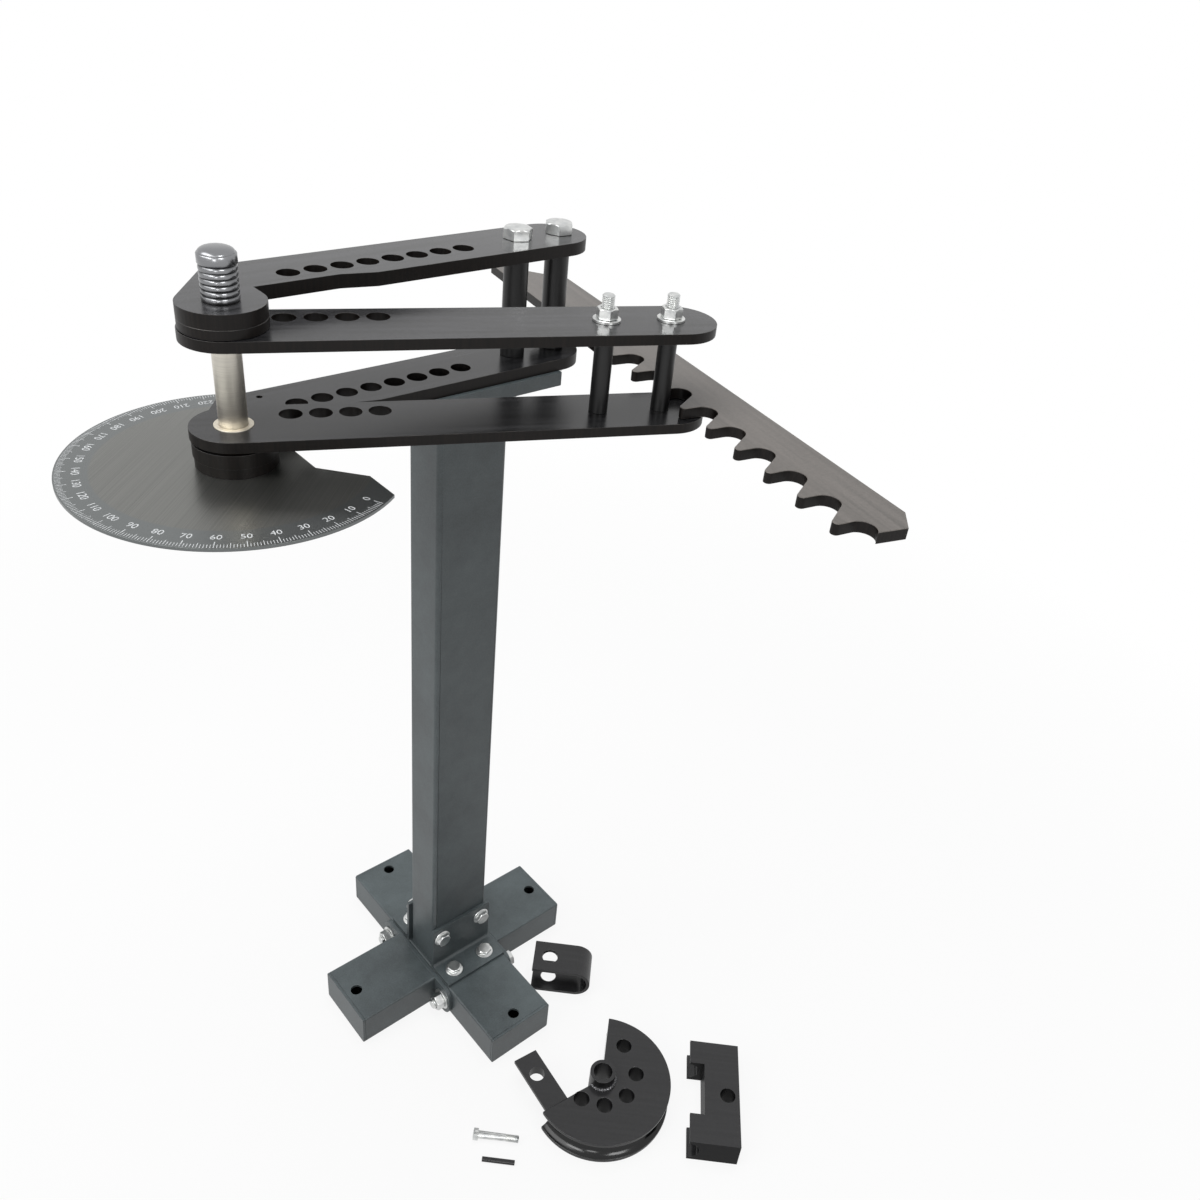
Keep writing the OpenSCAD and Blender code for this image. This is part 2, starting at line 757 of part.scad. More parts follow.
module ratchet_bar() {
  last = notch_first + (notches - 1) * notch_pitch;
  color([0.16, 0.16, 0.17]) translate([outer_spacer_x, 0, bar_z0]) rotate([0, 0, bar_angle]) difference() {
    union() {
      linear_extrude(bar_t) polygon(concat(
        [[-bar_tail + tail_slant, bar_back], [-bar_tail, tooth_tip]],
        [[-1.4 * eye_r, tooth_tip], [0, 0], [1.4 * eye_r, tooth_tip]],
        [for (i = [0 : notches - 1]) each tooth(i)],
        [[last + end_run, bar_back - end_drop], [last + end_run - end_slant, bar_back]]));
      cylinder(r = eye_r, h = bar_t);
    }
    for (i = [0 : notches - 1]) translate([notch_first + i * notch_pitch + seat_r, seat_y, -1])
      cylinder(r = seat_r, h = bar_t + 2);
    translate([0, 0, -1]) cylinder(r = pivot_r + pin_play, h = bar_t + 2);
  }
}

// Die set, laid out on the floor beside the base

module in_die() {
  translate([die_x, die_y, 0]) rotate([0, 0, kit_angle]) children();
}

hub_bore_r = pin_d / 2 + 2 * pin_play;
hub_r = hub_bore_r + hub_wall;
die_start = -142;
die_holes = [[60, 63], [48, 15], [41, -31], [39, -81], [42, -127]];
tube_r0 = die_r + 3;
hook_r1 = die_r - 5.5;
hook_drop = 2.5;

module bending_die() {
  color([0.10, 0.10, 0.11]) in_die() difference() {
    rotate([0, 0, die_start]) rotate_extrude(angle = die_arc, $fn = 128) difference() {
      translate([hub_r, 0]) square([die_r - hub_r, die_t]);
      translate([tube_r0, die_t / 2]) circle(r = groove_r, $fn = 48);
    }
    for (h = die_holes) rotate([0, 0, h[1]]) translate([h[0], 0, -1]) cylinder(d = hole_d, h = die_t + 2);
  }
}

module die_hub() {
  color([0.12, 0.12, 0.13]) in_die() union() {
    ring(hub_r, hub_bore_r, die_t + hub_proud);
    rotate([0, 0, die_start]) rotate_extrude(angle = die_arc, $fn = 96) translate([hub_r, die_t])
      polygon([[-1, 0], [hub_weld, 0], [-1, hub_weld + 1]]);
  }
}

module die_hook_bar() {
  color([0.10, 0.10, 0.11]) in_die() rotate([0, 0, die_start]) mirror([0, 1, 0]) difference() {
    translate([hook_r1 - hook_w, 0, die_t - hook_drop - hook_t]) cube([hook_w, hook_len, hook_t]);
    translate([hook_r1 - hook_w / 2, hook_len * 0.62, 0]) cylinder(d = hole_d, h = die_t);
    translate([hook_r1 - hook_w - 1, hook_len - 12, die_t - hook_drop - hook_t / 2]) rotate([0, 90, 0])
      cylinder(d = locate_d, h = hook_w + 2);
    translate([tube_r0, -1, die_t / 2]) rotate([-90, 0, 0]) cylinder(r = groove_r, h = hook_len + 2);
  }
}

module follower_block() {
  color([0.10, 0.10, 0.11]) translate([block_x, block_y, 0]) rotate([0, 0, kit_angle])
    translate([-block_w / 2, -block_len / 2, 0]) difference() {
      cube([block_w, block_len, block_h]);
      translate([0, -1, block_h / 2]) rotate([-90, 0, 0]) cylinder(r = groove_r, h = block_len + 2);
      translate([-1, block_len * 0.27, -1]) cube([groove_r + 6, block_len * 0.5, block_h + 2]);
      translate([block_w * 0.76, block_len * 0.48, -1]) cylinder(d = hole_d, h = block_h + 2);
    }
}

module tube_strap() {
  mid = strap_gap / 2 + strap_t;
  color([0.12, 0.12, 0.13]) translate([strap_x, strap_y, mid]) rotate([0, 0, kit_angle])
    rotate([90, 0, 0]) translate([0, 0, -strap_w / 2]) difference() {
      union() {
        cylinder(r = mid, h = strap_w);
        translate([-strap_len, -mid, 0]) cube([strap_len, 2 * mid, strap_w]);
      }
      translate([0, 0, -1]) cylinder(r = strap_gap / 2, h = strap_w + 2);
      translate([-strap_len - 1, -strap_gap / 2, -1]) cube([strap_len + 1, strap_gap, strap_w + 2]);
      translate([-strap_len * 0.62, mid + 1, strap_w / 2]) rotate([90, 0, 0])
        cylinder(d = strap_hole_d, h = 2 * mid + 2);
    }
}

module die_bolt() {
  color([0.75, 0.76, 0.78]) translate([die_bolt_x, die_bolt_y, hex_af(die_bolt_d) / 2])
    rotate([0, 0, kit_angle]) rotate([0, -90, 0]) rotate([0, 0, 30]) hex_bolt(die_bolt_d, die_bolt_len);
}

module loose_pin() {
  color([0.10, 0.10, 0.11]) translate([loose_pin_x, loose_pin_y, loose_pin_d / 2])
    rotate([0, 0, kit_angle]) rotate([0, 90, 0]) cylinder(d = loose_pin_d, h = loose_pin_len);
}

cross_tube();
left_foot_tube();
right_foot_tube();
foot_caps();
left_flange();
right_flange();
flange_bolts();
flange_washers();
flange_nuts();
front_bracket();
back_bracket();
bracket_base_bolts();
base_weld_nuts();
bracket_post_bolts();
bracket_post_nuts();
post();
saddle();
lower_frame_plate();
upper_frame_plate();
inner_frame_spacer();
outer_frame_spacer();
bar_collar();
bar_bush();
inner_frame_bolt();
outer_frame_bolt();
frame_nuts();
upper_boss();
thrust_washer();
dial_boss();
dial_plate();
dial_screws();
lower_swing_plate();
upper_swing_plate();
swing_bushes();
swing_spacers();
swing_bolts();
swing_washers();
swing_nuts();
main_pin();
ratchet_bar();
bending_die();
die_hub();
die_hook_bar();
follower_block();
tube_strap();
die_bolt();
loose_pin();
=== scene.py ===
import math

import bmesh
import bpy
import numpy as np
from mathutils import Matrix, Vector


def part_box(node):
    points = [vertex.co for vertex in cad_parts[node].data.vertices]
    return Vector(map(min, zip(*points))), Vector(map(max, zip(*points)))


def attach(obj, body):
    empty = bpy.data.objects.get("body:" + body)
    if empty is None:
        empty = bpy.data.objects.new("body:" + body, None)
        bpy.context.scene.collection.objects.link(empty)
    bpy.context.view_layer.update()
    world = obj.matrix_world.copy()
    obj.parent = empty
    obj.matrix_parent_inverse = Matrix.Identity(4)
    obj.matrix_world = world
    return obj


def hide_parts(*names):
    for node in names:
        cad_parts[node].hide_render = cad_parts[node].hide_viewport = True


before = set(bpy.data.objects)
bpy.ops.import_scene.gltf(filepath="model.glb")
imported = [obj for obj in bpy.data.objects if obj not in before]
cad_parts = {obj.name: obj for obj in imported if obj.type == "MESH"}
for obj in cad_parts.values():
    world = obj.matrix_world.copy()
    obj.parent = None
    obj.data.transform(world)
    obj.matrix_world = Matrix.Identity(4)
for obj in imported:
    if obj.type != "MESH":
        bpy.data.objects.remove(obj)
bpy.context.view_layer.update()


# Base: a cross tube, two stub feet, end plates and flanges of mild steel box section and flat bar.
# The pieces are welded and ground, then powder coated dark slate grey as single painted parts.

def linear(code):
    """sRGB hex to linear RGBA: each channel is divided by 12.92 near black, or raised to 2.4."""
    v = np.array([int(code[i:i + 2], 16) for i in (1, 3, 5)]) / 255
    v = np.where(v <= 0.04045, v / 12.92, ((v + 0.055) / 1.055) ** 2.4)
    return (*(float(c) for c in v), 1.0)


def add(material, kind, inputs=None, **settings):
    """Adds one shader node, with its settings, and its inputs as values or as links from sockets."""
    made = material.node_tree.nodes.new("ShaderNode" + kind)
    for name, value in settings.items():
        setattr(made, name, value)
    for name, value in (inputs or {}).items():
        if isinstance(value, bpy.types.NodeSocket):
            material.node_tree.links.new(value, made.inputs[name])
        else:
            made.inputs[name].default_value = value
    return made


def blank(name):
    """An empty node material, with the Object coordinates that its patterns read."""
    material = bpy.data.materials.new(name)
    material.use_nodes = True
    material.node_tree.nodes.clear()
    return material, add(material, "TexCoord").outputs["Object"]


# Powder coat on mild steel: cured polyester, satin, with a fine orange peel about 2 mm across. Its shade
# is cloudy, from patches a hand's width across down to specks. It dulls every highlight to a broad sheen.
slate_coat, place = blank("slate_powder_coat")
drift = add(slate_coat, "TexNoise", {"Vector": place, "Scale": 1 / 0.12, "Detail": 6.0, "Roughness": 0.72})
peel = add(slate_coat, "TexNoise", {"Vector": place, "Scale": 1 / 0.002, "Detail": 2.0})
speck = add(slate_coat, "Math", {
    0: peel.outputs["Fac"], 1: 0.3, 2: drift.outputs["Fac"]}, operation="MULTIPLY_ADD")
shade = add(slate_coat, "ValToRGB", {"Fac": speck.outputs["Value"]})
shade.color_ramp.elements[0].position, shade.color_ramp.elements[0].color = 0.49, linear("#363c3e")
shade.color_ramp.elements[1].position, shade.color_ramp.elements[1].color = 0.82, linear("#4c5456")
bump = add(slate_coat, "Bump", {"Height": peel.outputs["Fac"], "Strength": 0.22, "Distance": 0.0003})
gloss = add(slate_coat, "MapRange", {"Value": drift.outputs["Fac"], "To Min": 0.36, "To Max": 0.5})
coat = add(slate_coat, "BsdfPrincipled", {
    "Base Color": shade.outputs["Color"], "Roughness": gloss.outputs["Result"], "IOR": 1.5,
    "Normal": bump.outputs["Normal"]})
add(slate_coat, "OutputMaterial", {"Surface": coat.outputs["BSDF"]})


def soften(name, body, material, edge, others=(), where=None):
    """The CAD solid of one piece with its triangles merged and its sharp edges rounded to edge mm. where
    gives each face 0 for the material, or the number of one of the others, by its centre in mm and normal."""
    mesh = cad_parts[name].data.copy()
    mesh.name = name + "_finished"
    work = bmesh.new()
    work.from_mesh(mesh)
    bmesh.ops.remove_doubles(work, verts=work.verts, dist=2e-6)
    bmesh.ops.dissolve_limit(work, angle_limit=math.radians(0.3), verts=work.verts, edges=work.edges)
    work.to_mesh(mesh)
    work.free()
    mesh.shade_smooth()
    mesh.materials.clear()
    for finish in (material, *others):
        mesh.materials.append(finish)
    if others:
        centre, normal = np.empty((2, len(mesh.polygons), 3), np.float32)
        mesh.polygons.foreach_get("center", centre.ravel())
        mesh.polygons.foreach_get("normal", normal.ravel())
        mesh.polygons.foreach_set("material_index", where(centre * 1000, normal).astype(np.int32))
    piece = bpy.data.objects.new(name + "_finished", mesh)
    bpy.context.scene.collection.objects.link(piece)
    bevel = piece.modifiers.new("edge", "BEVEL")
    bevel.width = edge / 1000
    bevel.segments = 3
    bevel.limit_method = "ANGLE"
    bevel.angle_limit = math.radians(32)
    bevel.miter_outer = "MITER_ARC"
    bevel.material = 0
    level = piece.modifiers.new("flats", "WEIGHTED_NORMAL")
    level.weight = 100
    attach(piece, body)
    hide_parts(name)
    return piece


for part in ("cross_tube", "left_foot_tube", "right_foot_tube", "foot_caps", "left_flange", "right_flange"):
    soften(part, "stand", slate_coat, 0.8)


# Base bolts: two long hex bolts tie both flanges through the cross tube, with washers and nuts.
# They are cold forged steel, zinc plated, with the rolled thread left showing past each nut.

# Zinc plate over forged steel: bright and nearly neutral, faintly mottled at about 8 mm by the bath.
zinc_plate, place = blank("zinc_plate")
mottle = add(zinc_plate, "TexNoise", {"Vector": place, "Scale": 1 / 0.008, "Detail": 2.0})
tone = add(zinc_plate, "ValToRGB", {"Fac": mottle.outputs["Fac"]})
tone.color_ramp.elements[0].position, tone.color_ramp.elements[0].color = 0.3, linear("#bcbebe")
tone.color_ramp.elements[1].position, tone.color_ramp.elements[1].color = 0.7, linear("#dbdcda")
dull = add(zinc_plate, "MapRange", {"Value": mottle.outputs["Fac"], "To Min": 0.27, "To Max": 0.33})
bump = add(zinc_plate, "Bump", {"Height": mottle.outputs["Fac"], "Strength": 0.012, "Distance": 0.0003})
plate = add(zinc_plate, "BsdfPrincipled", {
    "Base Color": tone.outputs["Color"], "Metallic": 1.0, "Roughness": dull.outputs["Result"],
    "Normal": bump.outputs["Normal"]})
add(zinc_plate, "OutputMaterial", {"Surface": plate.outputs["BSDF"]})


def turned(profile, across=None, thread=None, turns=72):
    """A turned surface: every (r, z) of the profile is carried round the axis, in millimetres.
    across holds r inside a hexagon of that width; thread = (low, high, pitch) cuts a helix in r."""
    r, z = np.asarray(profile, float).T[..., None]
    angle = np.linspace(0, 2 * np.pi, turns, endpoint=False)[None]
    r = r + 0 * angle
    if across:
        r = np.minimum(r, across / 2 / np.cos((angle + np.pi / 6) % (np.pi / 3) - np.pi / 6))
    if thread:
        low, high, pitch = thread
        cut = 0.3 * pitch * (1 + np.cos(2 * np.pi * z / pitch - angle))
        r = r - np.where((z > low) & (z < high) & (r > 0.5), cut, 0)
    return np.stack([r * np.cos(angle), r * np.sin(angle), z + 0 * angle], -1)


def stand(grid, at, axis=(0, 0, 1), turn=0.0):
    """Moves a surface so that its own Z lies along axis and its origin at a point, in millimetres."""
    z = np.array(axis, float) / np.linalg.norm(axis)
    x = np.cross((0, 1, 0) if abs(z[1]) < 0.9 else (0, 0, 1), z)
    x /= np.linalg.norm(x)
    spin = np.array([[math.cos(turn), -math.sin(turn), 0], [math.sin(turn), math.cos(turn), 0], [0, 0, 1]])
    return grid @ (np.column_stack([x, np.cross(z, x), z]) @ spin).T + np.array(at, float)


def skin(name, grids, body, material, sharp=38, replaces=()):
    """Closed rings of points, row after row, become one mesh; seams and poles are merged."""
    verts, faces, start = [], [], 0
    for grid in grids:
        rows, turns = grid.shape[:2]
        i, j = np.meshgrid(np.arange(rows - 1), np.arange(turns), indexing="ij")
        k = (j + 1) % turns
        square = [i * turns + j, i * turns + k, (i + 1) * turns + k, (i + 1) * turns + j]
        faces.append(start + np.stack(square, -1).reshape(-1, 4))
        verts.append(grid.reshape(-1, 3) / 1000)
        start += rows * turns
    mesh = bpy.data.meshes.new(name)
    mesh.from_pydata(np.concatenate(verts), [], np.concatenate(faces))
    work = bmesh.new()
    work.from_mesh(mesh)
    bmesh.ops.remove_doubles(work, verts=work.verts, dist=2e-6)
    bmesh.ops.dissolve_degenerate(work, edges=work.edges, dist=1e-6)
    bmesh.ops.recalc_face_normals(work, faces=work.faces)
    work.to_mesh(mesh)
    work.free()
    mesh.shade_smooth()
    mesh.set_sharp_from_angle(angle=math.radians(sharp))
    mesh.materials.append(material)
    piece = bpy.data.objects.new(name, mesh)
    bpy.context.scene.collection.objects.link(piece)
    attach(piece, body)
    for part in replaces:
        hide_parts(part)
    return piece


def hex_bolt(d, grip, threaded):
    """A bolt whose head rises from z = 0 with a 30 degree chamfer, and whose shank runs down grip mm."""
    flats, head = 1.5 * d, 0.65 * d
    corner, crown = flats / math.sqrt(3), 0.47 * flats
    r = np.linspace(crown, corner, 6)
    rim = np.column_stack([r, head - (r - crown) * math.tan(math.radians(30))])
    z = np.arange(-grip + 1.2, -grip + threaded, 0.2) if threaded else np.array([-grip + 1.2])
    shank = np.column_stack([np.full(len(z), d / 2), z])[::-1]
    profile = np.vstack([[(0, head), (crown - 0.3, head)], rim, [(corner, 0.5), (0.48 * flats, 0)],
                         [(d / 2, 0)], shank, [(d / 2 - 1.2, -grip), (0, -grip)]])
    return turned(profile, flats, (-grip + 1.2, -grip + threaded, 0.15 * d) if threaded else None, 48)


def bolt_flange(d):
    """The pressed rim under a flanged bolt head: a low cone out to 1.05 d with a rounded edge."""
    return turned([(0.55 * d, 0.1), (1.05 * d - 0.4, 0), (1.05 * d, 0.5), (1.03 * d, 1.1),
                   (0.8 * d, 0.2 * d), (0.55 * d, 0.2 * d), (0.55 * d, 0.1)])


def hex_nut(d):
    """A nut on z = 0, chamfered at 30 degrees on its outer side, with an open bore."""
    flats, high, bore = 1.5 * d, 0.85 * d, d / 2 + 0.1
    corner, crown = flats / math.sqrt(3), 0.47 * flats
    r = np.linspace(crown, corner, 6)
    rim = np.column_stack([r, high - (r - crown) * math.tan(math.radians(30))])
    profile = np.vstack([[(bore, 0.8), (bore, high - 0.8), (bore + 0.7, high)], rim,
                         [(corner, 0.6), (crown, 0), (bore + 0.7, 0), (bore, 0.8)]])
    return turned(profile, flats, None, 48)


def past_nut(d, end):
    """How far a bolt runs past its nut's seat: the nut's height, 0.85 d, and the end that stands out."""
    return 85 * d / 100 + end


def washer(inner, outer, t):
    """A flat ring on z = 0 with its rim rolled over by a third of a millimetre."""
    e = 0.3
    return turned([(inner, e), (inner, t - e), (inner + e, t), (outer - e, t), (outer, t - e), (outer, e),
                   (outer - e, 0), (inner + e, 0), (inner, e)])


# The bolts pass 70 mm to either side of the middle, at half the height of the feet.
flange_d, flange_y, foot_mid, washer_t = 14, 70.0, 25.0, 2.5
flange_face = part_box("right_flange")[1][0] * 1000
flange_seat = flange_face + washer_t
flange_spots = [(y, foot_mid) for y in (-flange_y, flange_y)]
long_bolt = hex_bolt(flange_d, 2 * flange_seat + past_nut(flange_d, 4), 22)
skin("flange_bolts_finished", [stand(long_bolt, (flange_seat, y, z), (1, 0, 0), 0.2)
     for y, z in flange_spots], "stand", zinc_plate, replaces=["flange_bolts"])
skin("flange_washers_finished", [stand(washer(7.2, 15.4, washer_t), (x, y, z), (1, 0, 0))
     for y, z in flange_spots for x in (flange_face, -flange_seat)],
     "stand", zinc_plate, replaces=["flange_washers"])
skin("flange_nuts_finished", [stand(hex_nut(flange_d), (-flange_seat, y, z), (-1, 0, 0), 0.5)
     for y, z in flange_spots], "stand", zinc_plate, replaces=["flange_nuts"])


# Post and brackets: a box tube stands on the cross tube between two folded angle brackets,
# bolted down into welded nuts and through the post, all in the same slate powder coat.

for part in ("front_bracket", "back_bracket"):
    soften(part, "stand", slate_coat, 0.7)
soften("post", "stand", slate_coat, 0.6)
bracket_d, angle_t, foot_top = 12, 5, 50
post_face = -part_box("post")[0][1] * 1000
# Two bolts of each bracket stand 27 mm off the middle line and 27 mm out from the post, over weld nuts.
base_x, base_out, weld_nut_low, weld_nut_t = 27, 27, 38, 8
base_spots = [(x, y) for x in (-base_x, base_x) for y in (-post_face - base_out, post_face + base_out)]
skin("bracket_base_bolts_finished", [stand(form, (x, y, foot_top + angle_t), (0, 0, 1), 0.3 * x)
     for x, y in base_spots for form in (hex_bolt(bracket_d, 17, 0), bolt_flange(bracket_d))],
     "stand", zinc_plate, replaces=["bracket_base_bolts"])
skin("base_weld_nuts_finished", [stand(washer(6.2, 10.8, weld_nut_t), (x, y, weld_nut_low))
     for x, y in base_spots], "stand", zinc_plate, replaces=["base_weld_nuts"])
# The other two pass through the post and both brackets, 58 mm over the feet.
post_seat, post_x, post_z = post_face + angle_t, 34, foot_top + 58
through_bolt = hex_bolt(bracket_d, 2 * post_seat + past_nut(bracket_d, 3), 16)
skin("bracket_post_bolts_finished", [stand(form, (x, -post_seat, post_z), (0, -1, 0), 0.4)
     for x in (-post_x, post_x) for form in (through_bolt, bolt_flange(bracket_d))],
     "stand", zinc_plate, replaces=["bracket_post_bolts"])
skin("bracket_post_nuts_finished", [stand(hex_nut(bracket_d), (x, post_seat, post_z), (0, 1, 0), 0.1)
     for x in (-post_x, post_x)], "stand", zinc_plate, replaces=["bracket_post_nuts"])


# Saddle: a thick flat plate across the top of the post that carries the fixed frame.
# It is welded to the post and coated with it.

soften("saddle", "stand", slate_coat, 1.0)


# Fixed frame: two dog-leg plates of hot rolled steel, flame cut and drilled, held apart by round spacers.
# Their stoved black enamel is satin, a little browner where the flame left the cut edge rough.

# Stoved enamel on rolled plate: near black and fairly glossy on the flats, with the plate's rolling
# streaks about 6 mm wide and 150 mm long. Where a face turns upright it is darker and duller, over
# drag lines that are drawn 2 mm apart so that they show.

def stoved(name, dark, light, edge, gloss, lie=0.0, cut_depth=0.35, cut_dull=0.24, wear_and_edge_glint=0.7):
    """Black finish for flat plate: flats streaked along the direction lie, and the tone edge on upright
    faces, found by their level normals, which bear upright lines of the given depth. Where a corner turns
    from one
    to the other, the last argument gives how strongly it is painted lighter, in patches about 20 mm long:
    partly the finish rubbed off, partly a painted highlight on the rounded edge."""
    material, place = blank(name)
    along = add(material, "Mapping", {
        "Vector": place, "Rotation": (0, 0, lie), "Scale": (0.15, 0.006, 0.02)}, vector_type="TEXTURE")
    streak = add(material, "TexNoise", {"Vector": along.outputs["Vector"], "Scale": 1.0, "Detail": 4.0})
    grain = add(material, "TexNoise", {"Vector": place, "Scale": 1 / 0.003, "Detail": 3.0})
    cloud = add(material, "Math", {
        0: grain.outputs["Fac"], 1: 0.5, 2: streak.outputs["Fac"]}, operation="MULTIPLY_ADD")
    tone = add(material, "ValToRGB", {"Fac": cloud.outputs["Value"]})
    tone.color_ramp.elements[0].position, tone.color_ramp.elements[0].color = 0.55, linear(dark)
    tone.color_ramp.elements[1].position, tone.color_ramp.elements[1].color = 0.98, linear(light)
    facing = add(material, "SeparateXYZ", {"Vector": add(material, "NewGeometry").outputs["Normal"]})
    flat = add(material, "Math", {0: facing.outputs["Z"]}, operation="ABSOLUTE")
    cut = add(material, "MapRange", {"Value": flat.outputs["Value"], "From Min": 0.75, "From Max": 0.35})
    both = add(material, "Mix", {
        "Factor": cut.outputs["Result"], 6: tone.outputs["Color"], 7: linear(edge)}, data_type="RGBA")
    low = add(material, "MapRange", {
        "Value": streak.outputs["Fac"], "To Min": gloss, "To Max": gloss + 0.14})
    dull = add(material, "Mix", {
        "Factor": cut.outputs["Result"], 2: low.outputs["Result"], 3: gloss + cut_dull})
    upright = add(material, "Mapping", {
        "Vector": place, "Scale": (0.002, 0.002, 0.03)}, vector_type="TEXTURE")
    drag = add(material, "TexNoise", {"Vector": upright.outputs["Vector"], "Scale": 1.0, "Detail": 2.0})
    depth = add(material, "Math", {0: drag.outputs["Fac"], 1: cut.outputs["Result"]}, operation="MULTIPLY")
    bump = add(material, "Bump", {
        "Height": depth.outputs["Value"], "Strength": cut_depth, "Distance": 0.0003})
    # Rounded corners are painted lighter in patches: partly finish rubbed off, partly a painted highlight on
    # the edge.
    if wear_and_edge_glint:
        corner = add(material, "ValToRGB", {"Fac": flat.outputs["Value"]})
        corner.color_ramp.elements[0].position, corner.color_ramp.elements[0].color = 0.2, (0, 0, 0, 1)
        corner.color_ramp.elements[1].position, corner.color_ramp.elements[1].color = 0.95, (0, 0, 0, 1)
        corner.color_ramp.elements.new(0.6).color = (1, 1, 1, 1)
        patch = add(material, "TexNoise", {"Vector": place, "Scale": 1 / 0.02, "Detail": 3.0})
        rubbed_and_glint = add(material, "MapRange", {
            "Value": patch.outputs["Fac"], "From Min": 0.4, "From Max": 0.65, "To Max": wear_and_edge_glint})
        bare_and_glint = add(material, "Math", {
            0: corner.outputs["Color"], 1: rubbed_and_glint.outputs["Result"]}, operation="MULTIPLY")
        both = add(material, "Mix", {
            "Factor": bare_and_glint.outputs["Value"], 6: both.outputs[2], 7: linear("#77726c")}, data_type="RGBA")
    enamel = add(material, "BsdfPrincipled", {
        "Base Color": both.outputs[2], "Roughness": dull.outputs[0], "IOR": 1.42,
        "Normal": bump.outputs["Normal"]})
    add(material, "OutputMaterial", {"Surface": enamel.outputs["BSDF"]})
    return material


black_enamel = stoved("black_stoved_enamel", "#0a0a0b", "#28282a", "#0c0908", 0.17)

# The flame-cut edges hold the same enamel over rough drag lines, so they are browner and nearly matt.
flame_cut, place = blank("enamel_on_flame_cut_edge")
upright = add(flame_cut, "Mapping", {"Vector": place, "Scale": (0.002, 0.002, 0.03)}, vector_type="TEXTURE")
drag = add(flame_cut, "TexNoise", {"Vector": upright.outputs["Vector"], "Scale": 1.0, "Detail": 2.0})
tone = add(flame_cut, "ValToRGB", {"Fac": drag.outputs["Fac"]})
tone.color_ramp.elements[0].position, tone.color_ramp.elements[0].color = 0.3, linear("#070504")
tone.color_ramp.elements[1].position, tone.color_ramp.elements[1].color = 0.75, linear("#15100d")
bump = add(flame_cut, "Bump", {"Height": drag.outputs["Fac"], "Strength": 0.35, "Distance": 0.0003})
rough = add(flame_cut, "BsdfPrincipled", {
    "Base Color": tone.outputs["Color"], "Roughness": 0.42, "IOR": 1.42, "Specular IOR Level": 0.25,
    "Normal": bump.outputs["Normal"]})
add(flame_cut, "OutputMaterial", {"Surface": rough.outputs["BSDF"]})


def on_edge(centre, normal):
    """1 for the faces that stand on edge, whose normals are level."""
    return np.abs(normal[:, 2]) < 0.5


for part in ("lower_frame_plate", "upper_frame_plate"):
    soften(part, "stand", black_enamel, 0.9, [flame_cut], on_edge)

# On turned bar the same enamel is more even and glossier. The bosses' sides are flame cut like the plates.
turned_enamel = stoved("black_enamel_on_bar", "#121213", "#1d1d1e", "#0e0e0f", 0.12)
for part in ("inner_frame_spacer", "outer_frame_spacer", "bar_collar"):
    soften(part, "stand", turned_enamel, 0.5)
for part in ("upper_boss", "dial_boss"):
    soften(part, "stand", turned_enamel, 0.5, [flame_cut], on_edge)


# Frame bolts: two large hex bolts stand in the spacers and clamp both plates, one through the saddle.
# They are zinc plated as the rest are, and their nuts sit underneath.

frame_d, inner_x, outer_x = 18, 68, 122
frame_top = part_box("upper_frame_plate")[1][2] * 1000
saddle_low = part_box("saddle")[0][2] * 1000
plate_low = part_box("lower_frame_plate")[0][2] * 1000
frame_bolts = (("inner_frame_bolt", inner_x, saddle_low, 0.15),
               ("outer_frame_bolt", outer_x, plate_low, 0.42))
for part, x, low, turn in frame_bolts:
    form = hex_bolt(frame_d, frame_top - low + past_nut(frame_d, 4), 26)
    skin(part + "_finished", [stand(form, (x, 0, frame_top), (0, 0, 1), turn)],
         "stand", zinc_plate, replaces=[part])
skin("frame_nuts_finished", [stand(hex_nut(frame_d), (x, 0, low), (0, 0, -1), math.pi / 6)
     for part, x, low, turn in frame_bolts], "stand", zinc_plate, replaces=["frame_nuts"])


# Bushes: turned bronze rings that the main pin and the ratchet bar run in, with a thrust washer
# between the lower plates. Only the lower swing bush shows, as a pale ring around the pin.

# Bearing bronze, fine turned: warm, pale and mottled at about 3 mm, with a dull sheen. Where it works out
# of sight between plates, it is painted nearly black as the shade there.

def bearing_bronze(name, dark, light):
    """Bronze whose tone wanders between two colours over about 3 mm."""
    material, place = blank(name)
    mottle = add(material, "TexNoise", {"Vector": place, "Scale": 1 / 0.003, "Detail": 3.0})
    tone = add(material, "ValToRGB", {"Fac": mottle.outputs["Fac"]})
    tone.color_ramp.elements[0].color, tone.color_ramp.elements[1].color = linear(dark), linear(light)
    metal = add(material, "BsdfPrincipled", {
        "Base Color": tone.outputs["Color"], "Metallic": 1.0, "Roughness": 0.5})
    add(material, "OutputMaterial", {"Surface": metal.outputs["BSDF"]})
    return material


bronze = bearing_bronze("turned_bearing_bronze", "#d3cbb9", "#ece6d9")
bronze_painted_shade = bearing_bronze("bearing_bronze_painted_shade", "#17130f", "#2c251d")

soften("bar_bush", "stand", bronze, 0.3)
# The thrust washer between the lower plates is painted near black, as shade.
soften("thrust_washer", "stand", bronze_painted_shade, 0.3)
soften("swing_bushes", "swing_frame", bronze, 0.3)


# Dial: a cut-away disc of sheet metal, brushed and blackened, screwed to the boss under the fixed lobe.
# Its rim band carries white-filled graduations, a line for each degree and a number for every ten.

pin_x, pin_y = -271.0, -47.0
dial_low, dial_high = (v * 1000 for v in (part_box("dial_plate")[0][2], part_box("dial_plate")[1][2]))

